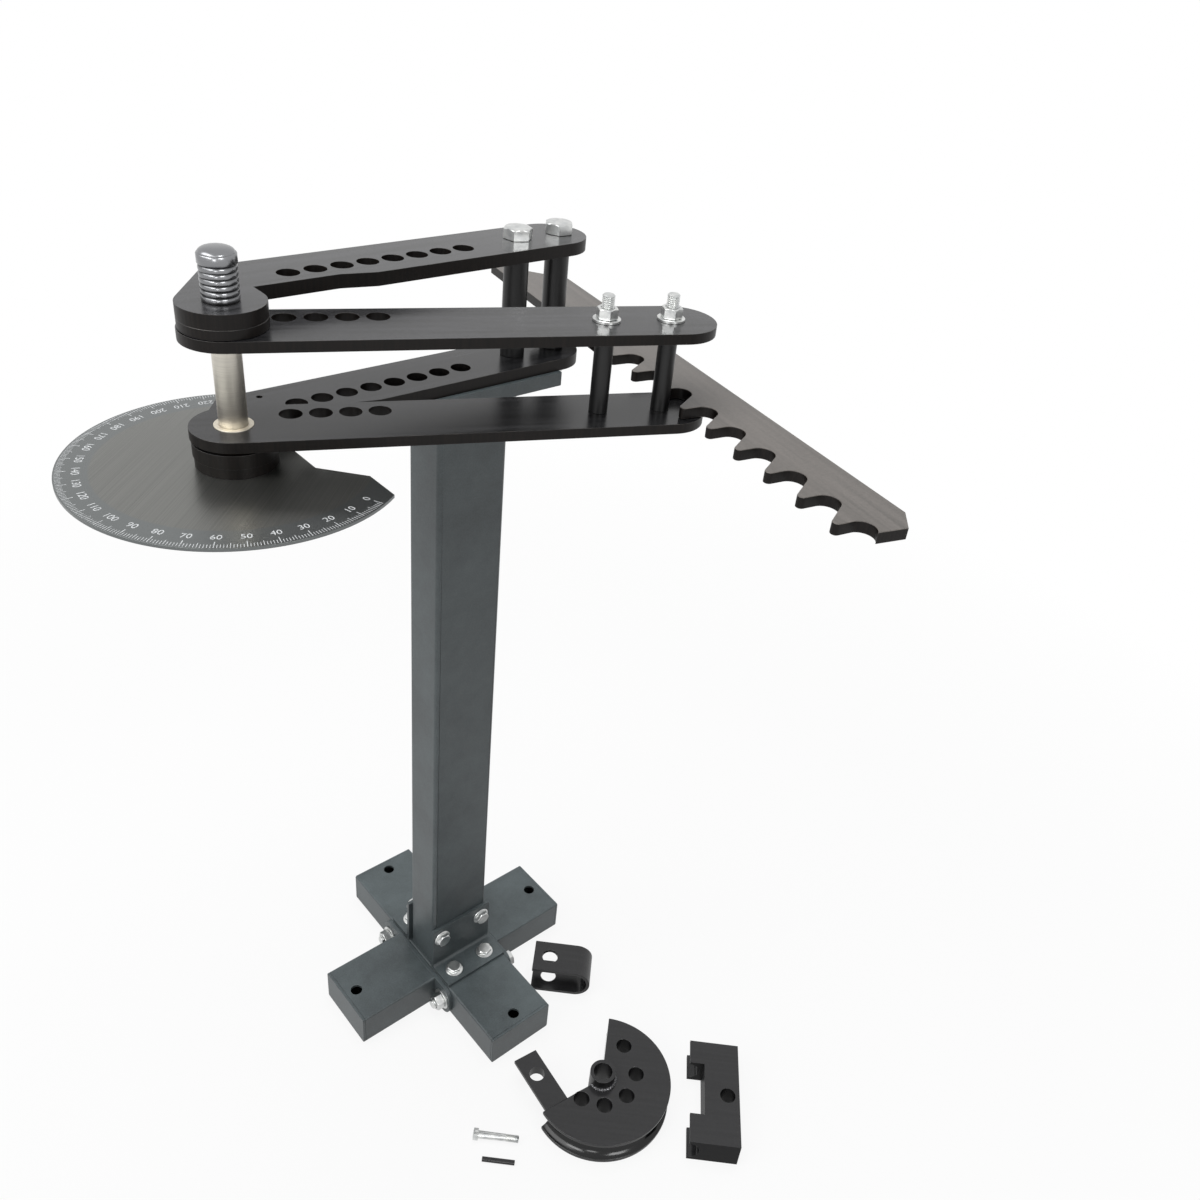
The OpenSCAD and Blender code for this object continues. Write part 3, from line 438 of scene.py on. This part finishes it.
# Brushed, blackened sheet: dark grey metal with hairlines drawn at 0.8 mm so that they show,
# and a rim band 28 mm wide that is a shade bluer, where the plate was wiped for printing.
dial_sheet, place = blank("blackened_brushed_sheet")
centred = add(dial_sheet, "Mapping", {"Vector": place, "Location": (-pin_x / 1000, -pin_y / 1000, 0)})
away = add(dial_sheet, "VectorMath", {0: centred.outputs["Vector"], 1: (1, 1, 0)}, operation="MULTIPLY")
radius = add(dial_sheet, "VectorMath", {0: away.outputs["Vector"]}, operation="LENGTH")
band = add(dial_sheet, "MapRange", {
    "Value": radius.outputs["Value"], "From Min": 0.121, "From Max": 0.1235})
hair = add(dial_sheet, "Mapping", {
    "Vector": place, "Rotation": (0, 0, 0.76), "Scale": (0.2, 0.0008, 1.0)}, vector_type="TEXTURE")
line = add(dial_sheet, "TexNoise", {"Vector": hair.outputs["Vector"], "Scale": 1.0, "Detail": 3.0})
inner = add(dial_sheet, "ValToRGB", {"Fac": line.outputs["Fac"]})
inner.color_ramp.elements[0].position, inner.color_ramp.elements[0].color = 0.25, linear("#6a6b68")
inner.color_ramp.elements[1].position, inner.color_ramp.elements[1].color = 0.75, linear("#7c7c79")
tone = add(dial_sheet, "Mix", {
    "Factor": band.outputs["Result"], 6: inner.outputs["Color"], 7: linear("#6f7272")}, data_type="RGBA")
sheen = add(dial_sheet, "MapRange", {"Value": line.outputs["Fac"], "To Min": 0.24, "To Max": 0.38})
bump = add(dial_sheet, "Bump", {"Height": line.outputs["Fac"], "Strength": 0.1, "Distance": 0.0001})
sheet = add(dial_sheet, "BsdfPrincipled", {
    "Base Color": tone.outputs[2], "Metallic": 0.92, "Roughness": sheen.outputs["Result"],
    "Normal": bump.outputs["Normal"]})
add(dial_sheet, "OutputMaterial", {"Surface": sheet.outputs["BSDF"]})
soften("dial_plate", "stand", dial_sheet, 0.5)

# Filled paint: matt white, slightly broken where it wore off.
white_fill, place = blank("white_filled_paint")
worn = add(white_fill, "TexNoise", {"Vector": place, "Scale": 1 / 0.002, "Detail": 2.0})
tone = add(white_fill, "ValToRGB", {"Fac": worn.outputs["Fac"]})
tone.color_ramp.elements[0].position, tone.color_ramp.elements[0].color = 0.3, linear("#787a7c")
tone.color_ramp.elements[1].position, tone.color_ramp.elements[1].color = 0.55, linear("#a6a8a9")
paint = add(white_fill, "BsdfPrincipled", {"Base Color": tone.outputs["Color"], "Roughness": 0.6})
add(white_fill, "OutputMaterial", {"Surface": paint.outputs["BSDF"]})

# Marks run in from 1.4 mm short of the rim: 9 mm at each ten, 7 mm at each five, 5 mm between.
zero_at, last_mark, mark_out = math.radians(-62.5), 224, 148.6
degree = np.arange(last_mark + 1)
ray = zero_at - np.radians(degree)
length = np.where(degree % 10 == 0, 9.0, np.where(degree % 5 == 0, 7.0, 5.0))
half = np.where(degree % 10 == 0, 0.34, 0.26)
out, side = np.stack([np.cos(ray), np.sin(ray)], -1), np.stack([-np.sin(ray), np.cos(ray)], -1)
# Each mark is a box: two ends along its ray, two sides across it, two heights over the dial.
corner = []
for end in (0, 1):
    for edge in (-1, 1):
        flat = out * (mark_out - end * length)[:, None] + side * (edge * half)[:, None] + (pin_x, pin_y)
        for rise in (-0.05, 0.06):
            corner.append(np.column_stack([flat, np.full(len(degree), dial_high + rise)]))
corner = np.stack(corner, 1)
box = np.array([(0, 1, 3, 2), (4, 6, 7, 5), (0, 4, 5, 1), (2, 3, 7, 6), (1, 5, 7, 3), (0, 2, 6, 4)])
mesh = bpy.data.meshes.new("dial_marks")
mesh.from_pydata(corner.reshape(-1, 3) / 1000, [], (8 * degree[:, None, None] + box).reshape(-1, 4))
mesh.materials.append(white_fill)
marks = bpy.data.objects.new("dial_marks", mesh)
bpy.context.scene.collection.objects.link(marks)
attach(marks, "stand")

# Each number stands with its foot to the rim, centred 17.5 mm in from it, as a thin raised mesh.
number_r, number_high = 132.5, 9.8
numbers = bmesh.new()
for ten in range(0, last_mark, 10):
    curve = bpy.data.curves.new("number", "FONT")
    curve.body, curve.size, curve.extrude = str(ten), number_high / 1000, 0.00005
    curve.align_x, curve.align_y = "CENTER", "CENTER"
    shape = bpy.data.objects.new("number", curve)
    bpy.context.scene.collection.objects.link(shape)
    flat = bpy.data.meshes.new_from_object(shape.evaluated_get(bpy.context.evaluated_depsgraph_get()))
    point = np.empty(3 * len(flat.vertices))
    flat.vertices.foreach_get("co", point)
    x, y, z = point.reshape(-1, 3).T
    a = zero_at - math.radians(ten)
    ahead, across = np.array([math.cos(a), math.sin(a)]), np.array([-math.sin(a), math.cos(a)])
    spot = np.outer(number_r / 1000 - y, ahead) + np.outer(x, across) + (pin_x / 1000, pin_y / 1000)
    flat.vertices.foreach_set("co", np.column_stack([spot, z + dial_high / 1000]).ravel())
    numbers.from_mesh(flat)
    bpy.data.objects.remove(shape)
bmesh.ops.remove_doubles(numbers, verts=numbers.verts, dist=1e-6)
bmesh.ops.recalc_face_normals(numbers, faces=numbers.faces)
mesh = bpy.data.meshes.new("dial_numbers")
numbers.to_mesh(mesh)
numbers.free()
mesh.materials.append(white_fill)
figures = bpy.data.objects.new("dial_numbers", mesh)
bpy.context.scene.collection.objects.link(figures)
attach(figures, "stand")

# Three short screws hold the dial up against its boss.
screw_d, screw_len, screw_r = 6, 11, 25
screw_spots = [(pin_x + screw_r * math.cos(a), pin_y + screw_r * math.sin(a))
               for a in np.radians((90, 210, 330))]
skin("dial_screws_finished", [stand(hex_bolt(screw_d, screw_len, 0), (x, y, dial_low), (0, 0, -1))
     for x, y in screw_spots], "stand", zinc_plate, replaces=["dial_screws"])


# Swing frame: two straight plates with round ends, tied at the far end by two slim spacers.
# Long bolts pass up through the spacers to a washer and nut each, with the thread standing proud.

# The plates' enamel again, streaked along the arm as it stands at rest.
arm = math.radians(-24)
swing_enamel = stoved("black_stoved_enamel_swing", "#0a0a0b", "#28282a", "#0c0908", 0.17, arm)
for part in ("lower_swing_plate", "upper_swing_plate"):
    soften(part, "swing_frame", swing_enamel, 0.9, [flame_cut], on_edge)
soften("swing_spacers", "swing_frame", turned_enamel, 0.4)
swing_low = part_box("lower_swing_plate")[0][2] * 1000
swing_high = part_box("upper_swing_plate")[1][2] * 1000
swing_d, near_post, far_post = 12, 333, 396
post_spots = [(pin_x + a * math.cos(arm), pin_y + a * math.sin(arm)) for a in (near_post, far_post)]
long_bolt = hex_bolt(swing_d, swing_high - swing_low + (washer_t + past_nut(swing_d, 12)), 29)
skin("swing_bolts_finished", [stand(long_bolt, (x, y, swing_low), (0, 0, -1), 0.7) for x, y in post_spots],
     "swing_frame", zinc_plate, replaces=["swing_bolts"])
skin("swing_washers_finished", [stand(washer(6.2, 13.2, washer_t), (x, y, swing_high))
     for x, y in post_spots], "swing_frame", zinc_plate, replaces=["swing_washers"])
skin("swing_nuts_finished", [stand(hex_nut(swing_d), (x, y, swing_high + washer_t), (0, 0, 1), 0.6)
     for x, y in post_spots], "swing_frame", zinc_plate, replaces=["swing_nuts"])


# Main pin: one bar of bright steel, turned down to a shaft below a ringed grip with a domed top.
# It drops through both frames and lifts out by hand to change the die.

pin_low, pin_high = (v * 1000 for v in (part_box("main_pin")[0][2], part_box("main_pin")[1][2]))
shaft_r, grip_r, ring_r, ring_pitch, ring_count, dome = 12.5, 16.0, 14.8, 4.9, 6, 5.0
band_low = frame_top + ring_pitch * ring_count

# Bright turned steel: feed marks about 0.9 mm apart along the axis. The shaft is a little warmer, from
# handling and oil.
# The grip is painted darker grey, as a painted reflection of dark surroundings, and its ring grooves darker
# still, as painted shade.
bright_steel, place = blank("bright_turned_steel")
grip_painted_reflection, groove_painted_shade = linear("#88898b"), linear("#3c3d3e")
height = add(bright_steel, "SeparateXYZ", {"Vector": place})
grip = add(bright_steel, "MapRange", {
    "Value": height.outputs["Z"], "From Min": (frame_top - 2.9) / 1000, "From Max": (frame_top + 1.1) / 1000})
centred = add(bright_steel, "Mapping", {"Vector": place, "Location": (-pin_x / 1000, -pin_y / 1000, 0)})
away = add(bright_steel, "VectorMath", {0: centred.outputs["Vector"], 1: (1, 1, 0)}, operation="MULTIPLY")
radius = add(bright_steel, "VectorMath", {0: away.outputs["Vector"]}, operation="LENGTH")
# Painted shade: inside the crest radius, in the ring grooves, the grip is darker.
off_groove_shade = add(bright_steel, "MapRange", {
    "Value": radius.outputs["Value"], "From Min": ring_r / 1000, "From Max": (ring_r + 0.8) / 1000})
ring = add(bright_steel, "Mix", {
    "Factor": off_groove_shade.outputs["Result"], 6: groove_painted_shade, 7: grip_painted_reflection}, data_type="RGBA")
on_top = add(bright_steel, "MapRange", {
    "Value": height.outputs["Z"], "From Min": (band_low + 1.7) / 1000, "From Max": (band_low + 2.2) / 1000})
head = add(bright_steel, "Mix", {
    "Factor": on_top.outputs["Result"], 6: ring.outputs[2], 7: grip_painted_reflection}, data_type="RGBA")
lathe = add(bright_steel, "Mapping", {
    "Vector": place, "Scale": (0.03, 0.03, 0.0009)}, vector_type="TEXTURE")
feed = add(bright_steel, "TexNoise", {"Vector": lathe.outputs["Vector"], "Scale": 1.0, "Detail": 3.0})
tone = add(bright_steel, "ValToRGB", {"Fac": feed.outputs["Fac"]})
tone.color_ramp.elements[0].position, tone.color_ramp.elements[0].color = 0.25, linear("#c8c3b9")
tone.color_ramp.elements[1].position, tone.color_ramp.elements[1].color = 0.75, linear("#dcd7cd")
tone = add(bright_steel, "Mix", {
    "Factor": grip.outputs["Result"], 6: tone.outputs["Color"], 7: head.outputs[2]}, data_type="RGBA")
satin = add(bright_steel, "MapRange", {"Value": feed.outputs["Fac"], "To Min": 0.36, "To Max": 0.48})
dull = add(bright_steel, "Math", {
    0: grip.outputs["Result"], 1: -0.18, 2: satin.outputs["Result"]}, operation="MULTIPLY_ADD")
bump = add(bright_steel, "Bump", {"Height": feed.outputs["Fac"], "Strength": 0.05, "Distance": 0.0002})
steel = add(bright_steel, "BsdfPrincipled", {
    "Base Color": tone.outputs[2], "Metallic": 1.0, "Roughness": dull.outputs["Value"],
    "Normal": bump.outputs["Normal"]})
add(bright_steel, "OutputMaterial", {"Surface": steel.outputs["BSDF"]})

# A grip ring bulges as a flattened half sine from the groove radius, once for each pitch.
step = np.linspace(0, 1, 15)
ring_z = frame_top + ring_pitch * (np.arange(ring_count)[:, None] + step)
bulge = ring_r + (grip_r - 0.4 - ring_r) * np.sin(np.pi * step) ** 0.55
rings = np.column_stack([np.tile(bulge, ring_count), ring_z.ravel()])
turn = np.linspace(0, np.pi / 2, 16)
crown = np.column_stack([(grip_r - 1.2) * np.cos(turn) ** 0.8, pin_high - dome + dome * np.sin(turn)])
shaft = [(0, pin_low), (shaft_r - 2, pin_low), (shaft_r, pin_low + 2), (shaft_r, frame_top - 0.01)]
band = [(grip_r - 0.5, band_low + 0.9), (grip_r, band_low + 1.5), (grip_r, pin_high - dome - 0.9),
        (grip_r - 0.4, pin_high - dome - 0.2)]
profile = np.vstack([shaft, rings, band, crown])
skin("main_pin_finished", [stand(turned(profile), (pin_x, pin_y, 0))],
     "pin", bright_steel, 50, ["main_pin"])


# Ratchet bar: a flat bar with hooked notches along one edge, all flame cut from one strip.
# It turns on a bush around the outer fixed spacer and catches the outer swing spacer.

# Oiled mill scale: the bar's rolled skin shows through a thin black, greyer and warmer than the plates.
oiled_scale = stoved("oiled_mill_scale", "#413e3b", "#524e4b", "#17110f", 0.3, math.radians(-103))
soften("ratchet_bar", "ratchet", oiled_scale, 0.9, [flame_cut], on_edge)


# Die set: a grooved part-round die on a welded hub, its hook bar, a grooved follower block and a strap.
# They are machined steel, blackened in hot oxide and oiled, and lie loose on the floor beside the base.

# Oiled black oxide on machined steel: the milled flats are painted greyer, as lit tops, with faint streaks
# along the cutter's path, which lies as the whole set does, and upright faces are painted deep black, as
# shade, and are nearly smooth.
kit = math.radians(-45)
black_oxide_painted_light_shade = stoved("oiled_black_oxide", "#222223", "#282829", "#0b0b0c", 0.12, kit, 0.03, wear_and_edge_glint=0)

# Oxide polished by the tubes that were bent in the groove: nearly a mirror, and painted black as the shade in
# the groove.
polished_oxide_painted_shade = stoved("tube_polished_oxide", "#0b0b0c", "#101011", "#0b0b0c", 0.09,
                        cut_depth=0.0, cut_dull=0.02, wear_and_edge_glint=0)

# Oxide on drilled and sawn faces, with fine tool marks about 0.5 mm apart: painted dead black, as the shade
# in bores and on upright sides.
sawn_oxide_painted_shade, place = blank("black_oxide_on_sawn_steel")
marks = add(sawn_oxide_painted_shade, "TexNoise", {"Vector": place, "Scale": 1 / 0.0005, "Detail": 2.0})
tone = add(sawn_oxide_painted_shade, "ValToRGB", {"Fac": marks.outputs["Fac"]})
tone.color_ramp.elements[0].position, tone.color_ramp.elements[0].color = 0.3, linear("#070708")
tone.color_ramp.elements[1].position, tone.color_ramp.elements[1].color = 0.75, linear("#141415")
bump = add(sawn_oxide_painted_shade, "Bump", {"Height": marks.outputs["Fac"], "Strength": 0.1, "Distance": 0.0002})
matt = add(sawn_oxide_painted_shade, "BsdfPrincipled", {
    "Base Color": tone.outputs["Color"], "Roughness": 0.45, "IOR": 1.42, "Specular IOR Level": 0.12,
    "Normal": bump.outputs["Normal"]})
add(sawn_oxide_painted_shade, "OutputMaterial", {"Surface": matt.outputs["BSDF"]})

# The die's axis and top, its hub's radius, and the radius that its groove stays outside of.
die_x, die_y, die_top, hub_r, groove_in = 40.0, -315.0, 40.0, 17.5, 82.0


def die_faces(centre, normal):
    """1 for the groove, far from the die's axis and over 5 mm from its top and bottom, and 2 for the bores
    and the sawn ends, which stand on edge nearer to the axis. Both take a black that is painted shade."""
    from_axis = np.hypot(centre[:, 0] - die_x, centre[:, 1] - die_y)
    groove = (from_axis > groove_in) & (np.abs(centre[:, 2] - die_top / 2) < die_top / 2 - 5)
    return np.where(groove, 1, 2 * (on_edge(centre, normal) & (from_axis < groove_in)))


soften("bending_die", "die", black_oxide_painted_light_shade, 0.8, [polished_oxide_painted_shade, sawn_oxide_painted_shade], die_faces)
soften("die_hub", "die", black_oxide_painted_light_shade, 1.2)
soften("die_hook_bar", "die", black_oxide_painted_light_shade, 0.8)
soften("follower_block", "follower", black_oxide_painted_light_shade, 0.7, [sawn_oxide_painted_shade], on_edge)
soften("tube_strap", "strap", black_oxide_painted_light_shade, 0.6)
soften("loose_pin", "dowel", black_oxide_painted_light_shade, 0.5)

# Weld metal under the oxide: lumpy and spattered, with lighter spots at 1.5 mm.
weld_metal, place = blank("oxidised_weld_metal")
grain = add(weld_metal, "TexNoise", {"Vector": place, "Scale": 1 / 0.0015, "Detail": 3.0})
tone = add(weld_metal, "ValToRGB", {"Fac": grain.outputs["Fac"]})
tone.color_ramp.elements[0].position, tone.color_ramp.elements[0].color = 0.4, linear("#161617")
tone.color_ramp.elements[1].position, tone.color_ramp.elements[1].color = 0.72, linear("#7c7c7f")
bump = add(weld_metal, "Bump", {"Height": grain.outputs["Fac"], "Strength": 0.6, "Distance": 0.0006})
metal = add(weld_metal, "BsdfPrincipled", {
    "Base Color": tone.outputs["Color"], "Metallic": 0.6, "Roughness": 0.3,
    "Normal": bump.outputs["Normal"]})
add(weld_metal, "OutputMaterial", {"Surface": metal.outputs["BSDF"]})

# The hub's weld is a bead along the part of its foot that stands on the die: a small tube, closed at both
# ends, whose radius ripples with each pass of the torch and swells unevenly, as hand welding does.
weld_from, weld_to, weld_size = -141, 87, 3.1
sweep = kit + np.radians(np.linspace(weld_from, weld_to, 190))[:, None]
section = np.linspace(0, 2 * np.pi, 24, endpoint=False)[None]
swell = (weld_size + 0.22 * np.cos(34 * sweep + 1.5 * np.sin(5 * sweep)) + 0.3 * np.sin(3 * sweep + 1.3)
         + 0.3 * np.sin(7 * sweep + 0.4) + 0.2 * np.sin(13 * sweep))
swell[[0, -1]] = 0
weld_r = hub_r + 0.2 + swell * np.cos(section)
weld = np.stack([die_x + weld_r * np.cos(sweep), die_y + weld_r * np.sin(sweep),
                 np.maximum(die_top + 0.4 + swell * np.sin(section), die_top - 0.4)], -1)
skin("hub_weld", [weld], "die", weld_metal, 60)

# The die's bolt lies on the floor on one of its flats, so its axis is half a head's width up.
bolt_d, bolt_len, bolt_x, bolt_y = 10, 54, -128, -262
loose_bolt = stand(hex_bolt(bolt_d, bolt_len, 18), (bolt_x, bolt_y, 0.75 * bolt_d),
                   (-math.cos(kit), -math.sin(kit), 0))
skin("die_bolt_finished", [loose_bolt], "bolt", zinc_plate, replaces=["die_bolt"])


# Studio: a pale floor under broad soft lamps from above and from the upper left, with a small one in front.
# The camera stands where the photographer stood, a little above and to the left of the machine.

def image_rays(material):
    """1 for rays that show a picture, straight, mirrored or through glass, and 0 for others."""
    seen = add(material, "LightPath")
    rays = add(material, "Math", {
        0: seen.outputs["Is Camera Ray"], 1: seen.outputs["Is Glossy Ray"]}, operation="MAXIMUM")
    rays = add(material, "Math", {
        0: rays.outputs["Value"], 1: seen.outputs["Is Transmission Ray"]}, operation="MAXIMUM")
    return rays.outputs["Value"]


# Floor paint: matt and pale. Near the machine 0.88 of what is seen is plain white and the rest keeps the
# shadow; from 0.9 to 1.9 m out it turns all white, as a paper sweep under its own light does.
floor_paint, place = blank("pale_floor_paint")
matt = add(floor_paint, "BsdfDiffuse", {"Color": linear("#c8c8c8"), "Roughness": 0.0})
out_from = add(floor_paint, "VectorMath", {0: place}, operation="LENGTH")
white = add(floor_paint, "MapRange", {
    "Value": out_from.outputs["Value"], "From Min": 0.9, "From Max": 1.9, "To Min": 0.88, "To Max": 1.0})
share = add(floor_paint, "Math", {
    0: image_rays(floor_paint), 1: white.outputs["Result"]}, operation="MULTIPLY")
glow = add(floor_paint, "Emission", {"Color": (1, 1, 1, 1), "Strength": 1.0})
both = add(floor_paint, "MixShader", {
    0: share.outputs["Value"], 1: matt.outputs["BSDF"], 2: glow.outputs["Emission"]})
add(floor_paint, "OutputMaterial", {"Surface": both.outputs["Shader"]})
mesh = bpy.data.meshes.new("floor")
mesh.from_pydata([(-40, -40, 0), (40, -40, 0), (40, 40, 0), (-40, 40, 0)], [], [(0, 1, 2, 3)])
mesh.materials.append(floor_paint)
floor = bpy.data.objects.new("floor", mesh)
bpy.context.scene.collection.objects.link(floor)

world = bpy.data.worlds.new("studio")
world.use_nodes = True
world.node_tree.nodes.clear()
level = add(world, "MapRange", {"Value": image_rays(world), "To Min": 0.32, "To Max": 1.0})
sky = add(world, "Background", {"Color": (1, 1, 1, 1), "Strength": level.outputs["Result"]})
add(world, "OutputWorld", {"Surface": sky.outputs["Background"]})
bpy.context.scene.world = world


def soft_box(name, spot, aim, size, watts):
    """A square area lamp at a spot, turned so that it faces a point."""
    lamp = bpy.data.lights.new(name, "AREA")
    lamp.size, lamp.energy = size, watts
    lit = bpy.data.objects.new(name, lamp)
    lit.location = spot
    lit.rotation_euler = (Vector(aim) - Vector(spot)).to_track_quat("-Z", "Y").to_euler()
    bpy.context.scene.collection.objects.link(lit)
    return lit


soft_box("left_box", (-2.4, 0.4, 2.6), (0, 0, 0.8), 2.2, 52)
soft_box("front_box", (-1.7, -1.9, 1.1), (0, -0.3, 0), 0.5, 6)
# The overhead lamp isn't mirrored, so flat metal keeps its own tone when it is seen from above.
overhead = soft_box("top_box", (0.1, 0.1, 3.4), (0, 0, 0), 2.4, 125)
overhead.visible_glossy = False
# Two small lamps show only as glints, on rounded edges, nuts and the die's groove.
for name, spot in (("left_glint", (-2.2, -1.0, 1.9)), ("right_glint", (-0.3, -2.4, 1.9))):
    glint = soft_box(name, spot, (0, -0.2, 0.3), 0.9, 24)
    glint.visible_diffuse = False

# Where the camera stands and how it is turned, and its focal length for a picture 1200 pixels wide.
eye, focal_px, wide_px = (-0.627787, -0.891448, 1.402551), 1083.979, 1200
yaw, pitch, roll = 0.79743138, 0.58490602, -0.11069127
ahead = np.array([math.cos(pitch) * math.cos(yaw), math.cos(pitch) * math.sin(yaw), -math.sin(pitch)])
level = np.array([math.sin(yaw), -math.cos(yaw), 0.0])
down = np.cross(ahead, level)
right = math.cos(roll) * level + math.sin(roll) * down
lower = -math.sin(roll) * level + math.cos(roll) * down
lens = bpy.data.cameras.new("camera")
lens.sensor_width, lens.lens = 36.0, 36.0 * focal_px / wide_px
camera = bpy.data.objects.new("camera", lens)
camera.matrix_world = Matrix.Translation(eye) @ Matrix(
    np.column_stack([right, -lower, -ahead]).tolist()).to_4x4()
bpy.context.scene.collection.objects.link(camera)
bpy.context.scene.camera = camera
bpy.context.scene.view_settings.view_transform = "Standard"
